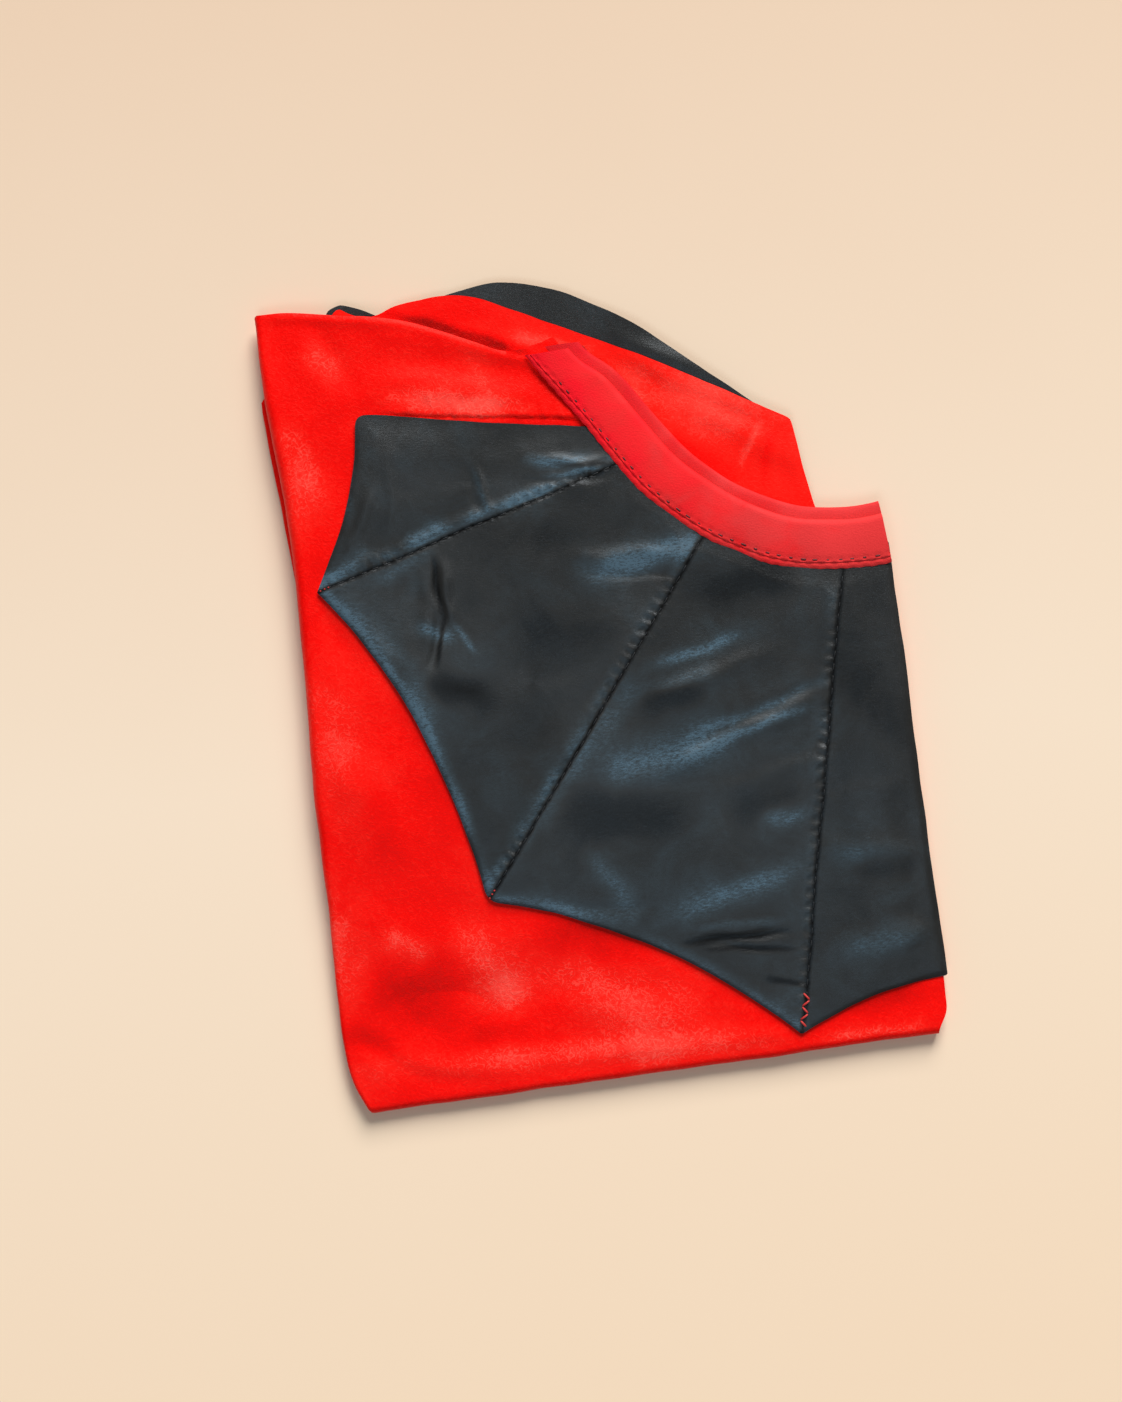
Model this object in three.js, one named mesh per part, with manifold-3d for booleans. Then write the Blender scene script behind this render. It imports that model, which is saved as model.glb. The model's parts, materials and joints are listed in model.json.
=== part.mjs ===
// A child's superhero cape, folded flat: two red body panels, a black scalloped
// shoulder yoke with a red lining on each half, and a red neckband.
// Millimetres, +Z up, +Y towards the neck, origin under the middle of the packet.
import * as THREE from "three";
import Module from "manifold-3d";
import { mergeVertices } from "three/addons/utils/BufferGeometryUtils.js";

const wasm = await Module();
wasm.setup();

// Cloth layers
const clothThickness = 0.5;
const layerGap = 0.3;
const layerPitch = clothThickness + layerGap;
const seamGap = 0.4;

// Folded packet
const rightEdge = 114.5;
const leftTop = -111.5;
const leftBulge = 4.5;
const leftLean = 1;
const frontEdgeBow = -2;
const packetTop = 153.6;
const packetBottom = -153.6;
const cornerDrop = 30;
const rightInset = 2 * layerPitch;

// Neckline and neckband
const neckInset = 8.5;
const neckHeight = 130;
const neckRadius = 103;
const straightFrom = 212;
const straightLength = 58;
const bandWidth = 18;
const seamTuck = 8;
const rightNeckShift = 5;
const bandEndBias = 9;
const bandEndSlot = 6;

// Left yoke: its ribs run from the neckline to the tips of the scalloped edge
const yokeSetBack = 44;
const frontTip = { angle: 186, reach: 186 };
const backTip = { angle: 271.6, reach: 261.3 };
const ribs = [
  { neckAngle: 211.7, angle: 202, reach: 225.3 },
  { neckAngle: 234.2, angle: 232.5, reach: 264.7 },
  { neckAngle: 265.2, angle: 259.9, reach: 280.7 },
];
const scallopDepths = [5, 10, 9, 3];
const goreNames = ["front", "shoulder", "side", "back"];
const liningInset = 1.5;

// Right yoke: only a crescent of its black outer shows past the lining, so its
// outline is given from the neck centre, and its hidden edges are plain curves
const crescentWidth = 9;
const rightYokeTop = [[-170, 12], [-147, 21.6], [-120, 9.5], [-75, -12], [-36, -36.5], [-21.5, -42.5]];
const crescentShare = [0, 0, 1, 1, 1 / 8, 0];
const rightYokeHidden = [[-18, -76], [-30, -130], [-106, -192], [-190, -160], [-198, -70]];
const rightBackRib = [[-16, -9], [-86, -142], [-135, -235]];
const rightFrontRib = [[-111, 70], [-166, -240]];

// The yoke lifts along a straight line that touches the neckline here
const liftAngle = 236;
const liftClearance = 5;

// Tail: the part of each body panel that is folded up underneath
const tailTop = 124;
const tailOut = 4;
const hemDrop = { left: 8, middle: 42, right: 94 };

// Closure and thread tack
const patchLength = 24;
const patchWidth = 12;
const tackWidth = 0.8;
const tackLength = 13;
const tackSwing = 3;
const tackTurns = 5;
const tackSetBack = 3;

// Layers, counted up from the surface that the packet lies on
const layer = {
  leftTailOuter: 0,
  rightTailOuter: 1,
  rightTailInner: 2,
  leftTailInner: 3,
  leftUnder: 4,
  rightUnder: 5,
  rightGore: 6,
  rightLining: 7,
  hookPatch: 8,
  rightBandOuter: 9,
  rightTop: 10,
  rightBandFacing: 11,
  loopPatch: 12,
  leftBandFacing: 13,
  leftTop: 14,
  leftLining: 15,
  leftGore: 16,
  leftBandOuter: 17,
};

const far = 400;
const curveSteps = 16;
const neckCentre = new THREE.Vector2(rightEdge - neckInset, neckHeight);

const red = { color: 0xdd1408, roughness: 0.5, metalness: 0 };
const bandRed = { color: 0xd42a2a, roughness: 0.75, metalness: 0 };
const black = { color: 0x15181c, roughness: 0.4, metalness: 0 };
const patchBlack = { color: 0x202020, roughness: 0.9, metalness: 0 };

const cape = new THREE.Group();

function layerBottom(index) {
  return index * layerPitch;
}

function layerTop(index) {
  return layerBottom(index) + clothThickness;
}

function toSolid(geometry) {
  const bare = geometry.clone();
  bare.deleteAttribute("normal");
  bare.deleteAttribute("uv");
  const merged = mergeVertices(bare, 1e-5);
  return new wasm.Manifold(new wasm.Mesh({
    numProp: 3,
    vertProperties: new Float32Array(merged.attributes.position.array),
    triVerts: new Uint32Array(merged.index.array),
  }));
}

function toGeometry(solid) {
  const mesh = solid.getMesh();
  const geometry = new THREE.BufferGeometry();
  geometry.setAttribute("position", new THREE.BufferAttribute(mesh.vertProperties, 3));
  geometry.setIndex(new THREE.BufferAttribute(mesh.triVerts, 1));
  return geometry;
}

function addNode(name, solid, look) {
  const mesh = new THREE.Mesh(toGeometry(solid), new THREE.MeshStandardMaterial(look));
  mesh.name = name;
  cape.add(mesh);
}

function prism(outline, bottom, top) {
  const geometry = new THREE.ExtrudeGeometry(new THREE.Shape(outline), {
    depth: top - bottom,
    bevelEnabled: false,
  });
  geometry.translate(0, 0, bottom);
  return toSolid(geometry);
}

function cloth(outline, index) {
  return prism(outline, layerBottom(index), layerTop(index));
}

function point(x, y) {
  return new THREE.Vector2(x, y);
}

function polar(angle, radius) {
  const a = THREE.MathUtils.degToRad(angle);
  return point(neckCentre.x + radius * Math.cos(a), neckCentre.y + radius * Math.sin(a));
}

function bow(from, to, depth) {
  const middle = from.clone().add(to).multiplyScalar(0.5);
  const inward = neckCentre.clone().sub(middle).normalize();
  const control = middle.addScaledVector(inward, 2 * depth);
  return new THREE.QuadraticBezierCurve(from, control, to).getPoints(curveSteps);
}

function smooth(points) {
  return new THREE.SplineCurve(points).getPoints(curveSteps * (points.length - 1));
}

// The neckline: an arc from the centre back, then a straight run to the front end.
// offset moves it towards the neck; length is how much of the straight run is kept.
function neckline(offset, length) {
  const radius = neckRadius - offset;
  const backAngle = 360 - THREE.MathUtils.radToDeg(Math.acos(neckInset / radius));
  const points = [];
  for (let i = 0; i <= curveSteps; i += 1) {
    points.push(polar(THREE.MathUtils.lerp(backAngle, straightFrom, i / curveSteps), radius));
  }
  points.push(polar(straightFrom, radius).addScaledVector(straightDirection(), length));
  return points;
}

function straightDirection() {
  const a = THREE.MathUtils.degToRad(straightFrom);
  return point(Math.sin(a), -Math.cos(a));
}

// The folded left edge of a panel, from the bottom corner up to its top corner.
function foldedEdge(inset, middle, corner) {
  return smooth([
    point(leftTop + leftLean + inset, packetBottom + inset),
    point(leftTop - leftBulge + inset, packetBottom + cornerDrop),
    point(leftTop - leftLean + inset, packetBottom + 4 * cornerDrop),
    ...middle,
    corner,
  ]);
}

function bodyEdge(inset) {
  const middle = [point(leftTop + inset, packetTop - 3 * cornerDrop)];
  return foldedEdge(inset, middle, point(leftTop + inset, packetTop - inset));
}

function tailEdge(inset) {
  return foldedEdge(inset, [], point(leftTop - tailOut + inset, tailTop - inset));
}

// Outline of one body panel as it lies folded, its hidden edges included.
function bodyOutline(inset, neckOffset) {
  const leftEdge = bodyEdge(inset);
  const neckEdge = neckline(neckOffset, straightLength - inset).reverse();
  const frontEdge = bow(leftEdge.at(-1), neckEdge[0], frontEdgeBow);
  const rightX = rightEdge - inset;
  return [
    ...frontEdge,
    ...neckEdge.slice(1, -1),
    point(rightX, neckEdge.at(-1).y),
    point(rightX, packetBottom + inset),
    ...leftEdge.slice(0, -1),
  ];
}

// The tail's far edge is the hem, which curves down to the centre back.
function tailOutline(inset) {
  const leftEdge = tailEdge(inset);
  const rightX = rightEdge - inset;
  const hem = smooth([
    leftEdge.at(-1),
    point(leftTop / 5, tailTop - hemDrop.left - inset),
    point(rightEdge / 2, tailTop - hemDrop.middle - inset),
    point(rightX, tailTop - hemDrop.right - inset),
  ]);
  return [...hem, point(rightX, packetBottom + inset), ...leftEdge.slice(0, -1)];
}

// A panel folded at the left and the bottom: its outline's prism, hollowed from the
// right and the top so that an upper and a lower ply stay, joined at the folds.
function foldedPanel(outline, leftEdge, lower, upper) {
  const wall = clothThickness;
  const floor = leftEdge[0].y + wall;
  const inner = leftEdge.map((p) => point(p.x + wall, p.y)).filter((p) => p.y > floor);
  const hollow = [
    point(far, floor),
    point(far, far),
    point(inner.at(-1).x, far),
    ...inner.reverse(),
    point(leftEdge[0].x + wall, floor),
  ];
  const block = prism(outline, layerBottom(lower), layerTop(upper));
  return block.subtract(prism(hollow, layerTop(lower), layerBottom(upper)));
}

function addBodyPanels() {
  addNode("left_body_panel", foldedPanel(
    bodyOutline(0, seamTuck), bodyEdge(0), layer.leftUnder, layer.leftTop), red);
  addNode("right_body_panel", foldedPanel(
    bodyOutline(rightInset, seamTuck + rightNeckShift), bodyEdge(rightInset),
    layer.rightUnder, layer.rightTop), red);
}

function addTails() {
  addNode("left_body_tail", foldedPanel(
    tailOutline(0), tailEdge(0), layer.leftTailOuter, layer.leftTailInner), red);
  addNode("right_body_tail", foldedPanel(
    tailOutline(rightInset), tailEdge(rightInset), layer.rightTailOuter, layer.rightTailInner), red);
}

function yokeOutline(inset) {
  const tips = [frontTip, ...ribs, backTip].map((tip) => polar(tip.angle, tip.reach - inset));
  const scallops = scallopDepths.flatMap((depth, i) => bow(tips[i], tips[i + 1], depth).slice(1));
  const neckEdge = neckline(seamTuck, straightLength - yokeSetBack - inset);
  const rightX = rightEdge - inset;
  return [
    tips[0],
    ...scallops.slice(0, -1),
    point(rightX, tips.at(-1).y),
    point(rightX, neckEdge[0].y),
    ...neckEdge.slice(1),
  ];
}

// A wedge that runs from the neck past the tips, between two ribs.
function goreWedge(index) {
  const first = index === 0 ? null : ribs[index - 1];
  const last = ribs[index] ?? null;
  const startSide = first ? ribSide(first, 1) : [point(far, far), point(-far, far)];
  const endSide = last ? ribSide(last, -1) : [point(far, far), point(far, -far)];
  if (!first) {
    return [...startSide, ...endSide.reverse()];
  }
  return [...startSide, ...(last ? [] : [point(-far / 4, -far)]), ...endSide.reverse()];
}

// Two points on a line beside a rib, half a seam gap from it.
function ribSide(rib, side) {
  const neckPoint = polar(rib.neckAngle, neckRadius);
  const tip = polar(rib.angle, rib.reach);
  const along = tip.clone().sub(neckPoint).normalize();
  const across = point(-along.y, along.x).multiplyScalar(side * seamGap / 2);
  const inner = neckPoint.clone().addScaledVector(along, -4 * seamTuck).add(across);
  const outer = tip.clone().addScaledVector(along, far / 4).add(across);
  return [inner, outer];
}

function liftLine() {
  const a = THREE.MathUtils.degToRad(liftAngle);
  const through = polar(liftAngle, neckRadius + liftClearance);
  const outward = point(Math.cos(a), Math.sin(a));
  const along = point(-outward.y, outward.x);
  return { through, outward, along };
}

// Everything on the moving side of the lift line, or on its neck side.
function liftSide(moving) {
  const { through, outward, along } = liftLine();
  const side = moving ? 1 : -1;
  const near = through.clone().addScaledVector(outward, side * seamGap / 2);
  const corners = [
    near.clone().addScaledVector(along, -far),
    near.clone().addScaledVector(along, far),
  ];
  const rear = corners.map((p) => p.clone().addScaledVector(outward, side * far)).reverse();
  const outline = [...corners, ...rear];
  return prism(THREE.ShapeUtils.isClockWise(outline) ? outline.reverse() : outline, -far, far);
}

function addLeftYoke() {
  const moving = liftSide(true);
  const fixed = liftSide(false);
  const lining = cloth(yokeOutline(liningInset), layer.leftLining);
  addNode("left_yoke_lining", lining.intersect(moving), red);
  addNode("left_yoke_lining_top", lining.intersect(fixed), red);
  const whole = cloth(yokeOutline(0), layer.leftGore);
  goreNames.forEach((name, i) => {
    const gore = whole.intersect(prism(goreWedge(i), -far, far));
    addNode(`left_yoke_${name}_gore`, gore.intersect(moving), black);
    addNode(`left_yoke_${name}_gore_top`, gore.intersect(fixed), black);
  });
}

// Points given from the neck centre.
function fromNeck(offsets) {
  return offsets.map(([dx, dy]) => point(neckCentre.x + dx, neckCentre.y + dy));
}

// The right half lies underneath, so only the neck end of its yoke shows.
function rightYokeOutline(crescent) {
  const top = fromNeck(rightYokeTop);
  top.forEach((p, i) => {
    p.y += crescent * crescentShare[i];
  });
  return [...smooth(top), ...smooth(fromNeck(rightYokeHidden))];
}

function addRightYoke() {
  addNode("right_yoke_lining", cloth(rightYokeOutline(0), layer.rightLining), red);
  const whole = cloth(rightYokeOutline(crescentWidth), layer.rightGore);
  const backRib = fromNeck(rightBackRib);
  const frontRib = fromNeck(rightFrontRib);
  const half = seamGap / 2;
  const shifted = (line, dx) => line.map((p) => point(p.x + dx, p.y));
  const rightSide = [...shifted(backRib, half).reverse(), point(far, far), point(far, -far)];
  const leftSide = [...shifted(frontRib, -half), point(-far, -far), point(-far, far)];
  const middle = [...shifted(backRib, -half), ...shifted(frontRib, half).reverse()];
  const pieces = { back: rightSide, side: middle, front: leftSide };
  for (const [name, outline] of Object.entries(pieces)) {
    const turned = THREE.ShapeUtils.isClockWise(outline) ? [...outline].reverse() : outline;
    addNode(`right_yoke_${name}_gore`, whole.intersect(prism(turned, -far, far)), black);
  }
}

// A strip of the neckline between two offsets.
function neckStrip(outer, inner, length, bias) {
  const outerEdge = neckline(outer, length);
  const innerEdge = neckline(inner, length - bias);
  return [...outerEdge, ...innerEdge.reverse()];
}

// The band is folded over the cloth edges: two plies joined along the neck side.
function neckband(shift, lower, upper) {
  const wall = clothThickness;
  const foldEdge = shift + bandWidth;
  const slotX = rightEdge - bandEndSlot;
  const between = (outline) => prism(outline, layerTop(lower), layerBottom(upper));
  const strip = neckStrip(shift, foldEdge, straightLength, bandEndBias);
  const block = prism(strip, layerBottom(lower), layerTop(upper));
  const slot = between(neckStrip(shift - wall, foldEdge - wall, straightLength + far / 8, 0));
  const backEnd = between([point(slotX, 0), point(far, 0), point(far, neckHeight), point(slotX, neckHeight)]);
  const neckWall = between(neckStrip(foldEdge - wall, foldEdge + far / 8, straightLength, 0));
  return block.subtract(slot).subtract(backEnd.subtract(neckWall));
}

function addNeckbands() {
  addNode("left_neckband", neckband(0, layer.leftBandFacing, layer.leftBandOuter), bandRed);
  addNode("right_neckband", neckband(
    rightNeckShift, layer.rightBandOuter, layer.rightBandFacing), bandRed);
}

// A hook or loop patch across the band's front end.
function patchOutline(shift) {
  const along = straightDirection();
  const across = point(along.y, -along.x);
  const margin = (bandWidth - patchWidth) / 2;
  const start = polar(straightFrom, neckRadius - shift - margin)
    .addScaledVector(along, straightLength - patchLength - bandEndBias);
  const corners = [
    start,
    start.clone().addScaledVector(along, patchLength),
    start.clone().addScaledVector(along, patchLength).addScaledVector(across, patchWidth),
    start.clone().addScaledVector(across, patchWidth),
  ];
  return THREE.ShapeUtils.isClockWise(corners) ? corners.reverse() : corners;
}

function addClosure() {
  addNode("closure_loop_patch", cloth(patchOutline(0), layer.loopPatch), patchBlack);
  addNode("closure_hook_patch", cloth(patchOutline(rightNeckShift), layer.hookPatch), patchBlack);
}

// A zigzag of thread over the end of the last rib, one straight stitch after another.
function addThreadTack() {
  const rib = ribs.at(-1);
  const tip = polar(rib.angle, rib.reach);
  const towardsNeck = polar(rib.neckAngle, neckRadius).sub(tip).normalize();
  const across = point(-towardsNeck.y, towardsNeck.x);
  const turn = (i) => tip.clone()
    .addScaledVector(towardsNeck, tackSetBack + tackLength * i / tackTurns)
    .addScaledVector(across, (i % 2 === 0 ? 0.5 : -0.5) * tackSwing);
  let tack = stitch(turn(0), turn(1));
  for (let i = 1; i < tackTurns; i += 1) {
    tack = tack.add(stitch(turn(i), turn(i + 1)));
  }
  addNode("tip_thread_tack", tack, bandRed);
}

function stitch(from, to) {
  const along = to.clone().sub(from).setLength(tackWidth / 2);
  const side = point(-along.y, along.x);
  const start = from.clone().sub(along);
  const end = to.clone().add(along);
  const outline = [start.clone().sub(side), end.clone().sub(side), end.add(side), start.add(side)];
  return cloth(outline, layer.leftBandOuter);
}

addBodyPanels();
addTails();
addRightYoke();
addLeftYoke();
addNeckbands();
addClosure();
addThreadTack();

export default cape;
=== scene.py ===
"""A child's superhero cape, folded flat: the looks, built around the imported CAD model.

Plan sizes and heights are worked out in millimetres in the frame of the CAD model.
"""
import json
import math

import bpy
import numpy as np
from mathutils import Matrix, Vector
from mathutils.geometry import delaunay_2d_cdt
from mathutils.kdtree import KDTree


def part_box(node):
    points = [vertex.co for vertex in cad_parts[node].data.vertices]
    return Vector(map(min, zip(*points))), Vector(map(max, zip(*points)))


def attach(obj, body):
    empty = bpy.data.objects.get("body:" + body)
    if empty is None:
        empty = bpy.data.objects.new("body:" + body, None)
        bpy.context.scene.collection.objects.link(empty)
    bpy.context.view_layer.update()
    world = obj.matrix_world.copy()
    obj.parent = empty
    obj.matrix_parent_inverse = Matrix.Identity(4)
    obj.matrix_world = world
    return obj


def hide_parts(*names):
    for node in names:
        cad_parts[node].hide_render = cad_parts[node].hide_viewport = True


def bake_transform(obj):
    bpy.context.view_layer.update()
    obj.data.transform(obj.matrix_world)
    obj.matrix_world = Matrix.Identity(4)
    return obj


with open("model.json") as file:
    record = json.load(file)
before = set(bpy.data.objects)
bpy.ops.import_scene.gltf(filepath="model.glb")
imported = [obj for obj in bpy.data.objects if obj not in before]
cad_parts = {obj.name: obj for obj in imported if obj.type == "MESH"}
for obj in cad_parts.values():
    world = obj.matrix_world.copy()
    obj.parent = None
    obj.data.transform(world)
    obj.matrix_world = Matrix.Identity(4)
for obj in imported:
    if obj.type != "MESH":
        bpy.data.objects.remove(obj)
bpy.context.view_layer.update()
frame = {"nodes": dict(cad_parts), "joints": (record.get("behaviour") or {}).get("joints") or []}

MM = 0.001

# Neckline and band, in millimetres
NECK_RADIUS = 103
NECK_INSET = 8.5
STRAIGHT_FROM = math.radians(212)
STRAIGHT_LENGTH = 58
BAND_WIDTH = 18
BAND_END_BIAS = 9
RIM_WIDTH = 2.4
BACK_INSET = 1.6
INNER_INSET = 1.2
SEAM_TUCK = 8
RIGHT_SHIFT = 5
STITCH_PITCH = 4.8
THREAD_END_PLACES = (1.2, 3.0, 4.6)
THREAD_END_LENGTH = 0.7
TACK_SET_BACK = 3
TACK_STEP = 2.6
TACK_SWING = 1.5
TACK_TURNS = 5
RIB_NECK_ANGLES = (211.7, 234.2, 265.2)
RIB_DEPTHS = (1.15, 1.05, 0.85)
YOKE_SET_BACK = 44
SCALLOPS = (5, 10, 9, 3)
LINING_SHOWS = 2.6
YOKE_CLOTH = 0.3
BODY_CLOTH = 0.35
TAPE_CLOTH = 0.35
BAND_CLOTH = 0.4
FINE_MESH = 1.25
COARSE_MESH = 5.0
FINE_PAST_SIDE_FOLD = 14
FINE_PAST_END_FOLD = 16
BACK_EDGE_REACH = 45
CORNER_PULL = 4.5

# Heights of the plies over the floor, where the packet is thinnest and at the neck
FOLD_HEIGHT = frame["joints"][1]["pos_m"][2] / MM
PLY = 0.7
SWELL_FROM = -135
SWELL_TO = 0
LEFT_TOP = (5.8, 11.4)
RIGHT_TOP = (5.1, 8.2)
RIGHT_UNDER = (4.3, 4.3)
LEFT_UNDER = (3.6, 3.6)


# ---------------------------------------------------------------- measures

def reach(node, dx, dy):
    """The plan position of a CAD node's vertex that is farthest along (dx, dy)."""
    vertices = frame["nodes"][node].data.vertices
    best = max(vertices, key=lambda v: v.co.x * dx + v.co.y * dy)
    return np.array([best.co.x, best.co.y]) / MM


def node_box(node):
    low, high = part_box(node)
    return np.array(low) / MM, np.array(high) / MM


BODY_LOW, BODY_HIGH = node_box("left_body_panel")
BAND_LOW, _ = node_box("left_neckband")
RIGHT = BODY_HIGH[0]
TOP = BODY_HIGH[1]
BOTTOM = BODY_LOW[1]
NECK = np.array([RIGHT - NECK_INSET, BAND_LOW[1] + NECK_RADIUS])
TOP_CORNER = reach("left_body_panel", -1, 3)
TAIL_CORNER = reach("left_body_tail", -1, 3)


# ---------------------------------------------------------------- plan geometry

def smooth_step(low, high, value):
    t = np.clip((value - low) / (high - low), 0, 1)
    return t * t * (3 - 2 * t)


def hill(distance, width):
    return np.exp(-(distance / width) ** 2)


def polar(angle, radius):
    return NECK + radius * np.array([math.cos(angle), math.sin(angle)])


def spline(points, steps=14):
    """A smooth curve through the points."""
    p = np.array(points, float)
    p = np.vstack([2 * p[0] - p[1], p, 2 * p[-1] - p[-2]])
    t = np.linspace(0, 1, steps, endpoint=False)[:, None]
    parts = []
    for a, b, c, d in zip(p[:-3], p[1:-2], p[2:-1], p[3:]):
        parts.append(0.5 * (2 * b + (c - a) * t + (2 * a - 5 * b + 4 * c - d) * t ** 2
                            + (3 * b - a - 3 * c + d) * t ** 3))
    return np.vstack(parts + [p[-2:-1]])


def bow(start, end, depth, steps=24):
    """A curve from start to end that bends towards the neck by depth."""
    middle = (start + end) / 2
    inward = (NECK - middle) / np.linalg.norm(NECK - middle)
    control = middle + 2 * depth * inward
    t = np.linspace(0, 1, steps + 1)[:, None]
    return (1 - t) ** 2 * start + 2 * t * (1 - t) * control + t ** 2 * end


def straight_direction():
    return np.array([math.sin(STRAIGHT_FROM), -math.cos(STRAIGHT_FROM)])


def neckline(offset, length=STRAIGHT_LENGTH, steps=60):
    """From the centre back round the neck to the front end, offset towards the neck."""
    radius = NECK_RADIUS - offset
    back = 2 * math.pi - math.acos(NECK_INSET / radius)
    arc = [polar(a, radius) for a in np.linspace(back, STRAIGHT_FROM, steps)]
    along = np.linspace(0, length, steps // 2)[1:]
    return np.array(arc + [arc[-1] + s * straight_direction() for s in along])


def resample(line, spacing, closed=False):
    line = np.array(line, float)
    if closed:
        line = np.vstack([line, line[:1]])
    steps = np.linalg.norm(np.diff(line, axis=0), axis=1)
    along = np.concatenate([[0], np.cumsum(steps)])
    count = max(2, int(round(along[-1] / spacing)) + 1)
    at = np.linspace(0, along[-1], count)
    points = np.stack([np.interp(at, along, line[:, k]) for k in (0, 1)], axis=1)
    return points[:-1] if closed else points


def distance_to(points, line, closed=False):
    """How far each point is from a line, and how far along it the nearest place is."""
    line = resample(line, 2.0, closed)
    if closed:
        line = np.vstack([line, line[:2]])
    along = np.concatenate([[0], np.cumsum(np.linalg.norm(np.diff(line, axis=0), axis=1))])
    tree = KDTree(len(line))
    for i, place in enumerate(line):
        tree.insert((*place, 0), i)
    tree.balance()
    nearest = np.array([tree.find((x, y, 0))[1] for x, y in points.tolist()])
    if closed:
        nearest[nearest == 0] = len(line) - 2
    best = np.full(len(points), np.inf)
    at = np.zeros(len(points))
    for shift in (-1, 0):
        first = np.clip(nearest + shift, 0, len(line) - 2)
        start, d = line[first], line[first + 1] - line[first]
        t = np.clip(((points - start) * d).sum(1) / (d * d).sum(1), 0, 1)
        away = np.linalg.norm(points - start - t[:, None] * d, axis=1)
        nearer = away < best
        best[nearer] = away[nearer]
        at[nearer] = (along[first] + t * (along[first + 1] - along[first]))[nearer]
    return best, at


def crossings(outline, y):
    """Where a level line crosses an outline, from left to right."""
    a, b = outline, np.roll(outline, -1, axis=0)
    cross = (a[:, 1] > y) != (b[:, 1] > y)
    a, b = a[cross], b[cross]
    return np.sort(a[:, 0] + (y - a[:, 1]) * (b[:, 0] - a[:, 0]) / (b[:, 1] - a[:, 1]))


def inside(points, outline):
    """Which points lie inside an outline, judged on level lines 0.25 mm apart."""
    rows = np.round(points[:, 1] * 4).astype(int)
    order = np.argsort(rows, kind="stable")
    starts = np.flatnonzero(np.diff(rows[order], prepend=rows[order[0]] - 1))
    result = np.zeros(len(points), bool)
    for own in np.split(order, starts[1:]):
        x = crossings(outline, rows[own[0]] / 4 + 1e-4)
        result[own] = np.searchsorted(x, points[own, 0]) % 2 == 1
    return result


def side_of(points, start, end):
    """Positive to the left of the line from start to end, in millimetres."""
    d = (end - start) / np.linalg.norm(end - start)
    return d[0] * (points[:, 1] - start[1]) - d[1] * (points[:, 0] - start[0])


def fill(outline, spacing):
    """A triangular grid of points inside an outline."""
    rows = []
    levels = np.arange(outline[:, 1].min() + spacing / 2, outline[:, 1].max(), spacing * 0.866)
    for number, y in enumerate(levels):
        shift = (number % 2) * spacing / 2
        x = crossings(outline, y)
        for start, end in zip(x[::2], x[1::2]):
            first = math.ceil((start + spacing * 0.4 - shift) / spacing) * spacing + shift
            columns = np.arange(first, end - spacing * 0.4, spacing)
            rows.append(np.column_stack([columns, np.full(len(columns), y)]))
    return np.vstack(rows)


def triangulate(outline, spacing, lines=(), coarse=None):
    """Triangles that fill an outline, with vertices along the lines.

    coarse is (spacing, test): test says which points may have the coarser spacing.
    """
    edge = resample(outline, spacing, closed=True)
    inner = [resample(line, spacing) for line in lines]
    grid = fill(edge, spacing)
    if coarse:
        wide = fill(edge, coarse[0])
        grid = np.vstack([grid[~coarse[1](grid)], wide[coarse[1](wide)]])
    keep = distance_to(grid, edge, closed=True)[0] > spacing * 0.45
    for line in lines:
        keep &= distance_to(grid, line)[0] > spacing * 0.45
    grid = grid[keep]
    points = np.vstack([edge] + inner + [grid])
    edges = [(i, (i + 1) % len(edge)) for i in range(len(edge))]
    made = delaunay_2d_cdt([Vector(p) for p in points.tolist()], edges, [], 1, 1e-5)
    plan = np.array([v[:] for v in made[0]])
    return plan, [tuple(f) for f in made[2]]


# ---------------------------------------------------------------- relief

def ripple(points, size, seed):
    """Smooth random relief between about -1 and 1, its features about size across."""
    angles = np.random.default_rng(seed).uniform(0, 2 * math.pi, (64, 64))
    u = points / size
    cell = np.floor(u).astype(int)
    f = u - cell
    fade = f ** 3 * (f * (f * 6 - 15) + 10)
    total = np.zeros(len(points))
    for i in (0, 1):
        for j in (0, 1):
            a = angles[(cell[:, 0] + i) % 64, (cell[:, 1] + j) % 64]
            dot = np.cos(a) * (f[:, 0] - i) + np.sin(a) * (f[:, 1] - j)
            wx = fade[:, 0] if i else 1 - fade[:, 0]
            wy = fade[:, 1] if j else 1 - fade[:, 1]
            total += wx * wy * dot
    return 1.6 * total


def crease(points, start, end, width, height, wander=1.5, seed=0):
    """A ridge (height above 0) or a furrow from start to end, dying out at both ends."""
    start, end = np.array(start, float), np.array(end, float)
    d = end - start
    length = np.linalg.norm(d)
    t = (points - start) @ d / length ** 2
    across = side_of(points, start, end) + wander * ripple(points, 14, seed)
    fade = smooth_step(-0.15, 0.3, t) * smooth_step(1.15, 0.7, t)
    return height * hill(across, width) * fade


def swell(plan):
    return smooth_step(SWELL_FROM, SWELL_TO, plan[:, 1])


def level(plan, heights):
    """A ply's height: rising towards the neck, pinched at the packet's top corner."""
    low, high = heights
    pinch = hill(np.linalg.norm(plan - TOP_CORNER, axis=1), 24)
    return low + (high - low) * swell(plan) * (1 - 0.62 * pinch)


# ---------------------------------------------------------------- building meshes

def unevenness(plan):
    """How far the real cloth strays from its ideal plan, so that no edge is dead straight."""
    shift = np.column_stack([ripple(plan, 52, 90), ripple(plan, 52, 91)]) * 0.75
    return shift + np.column_stack([ripple(plan, 13, 92), ripple(plan, 13, 93)]) * 0.22


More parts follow.
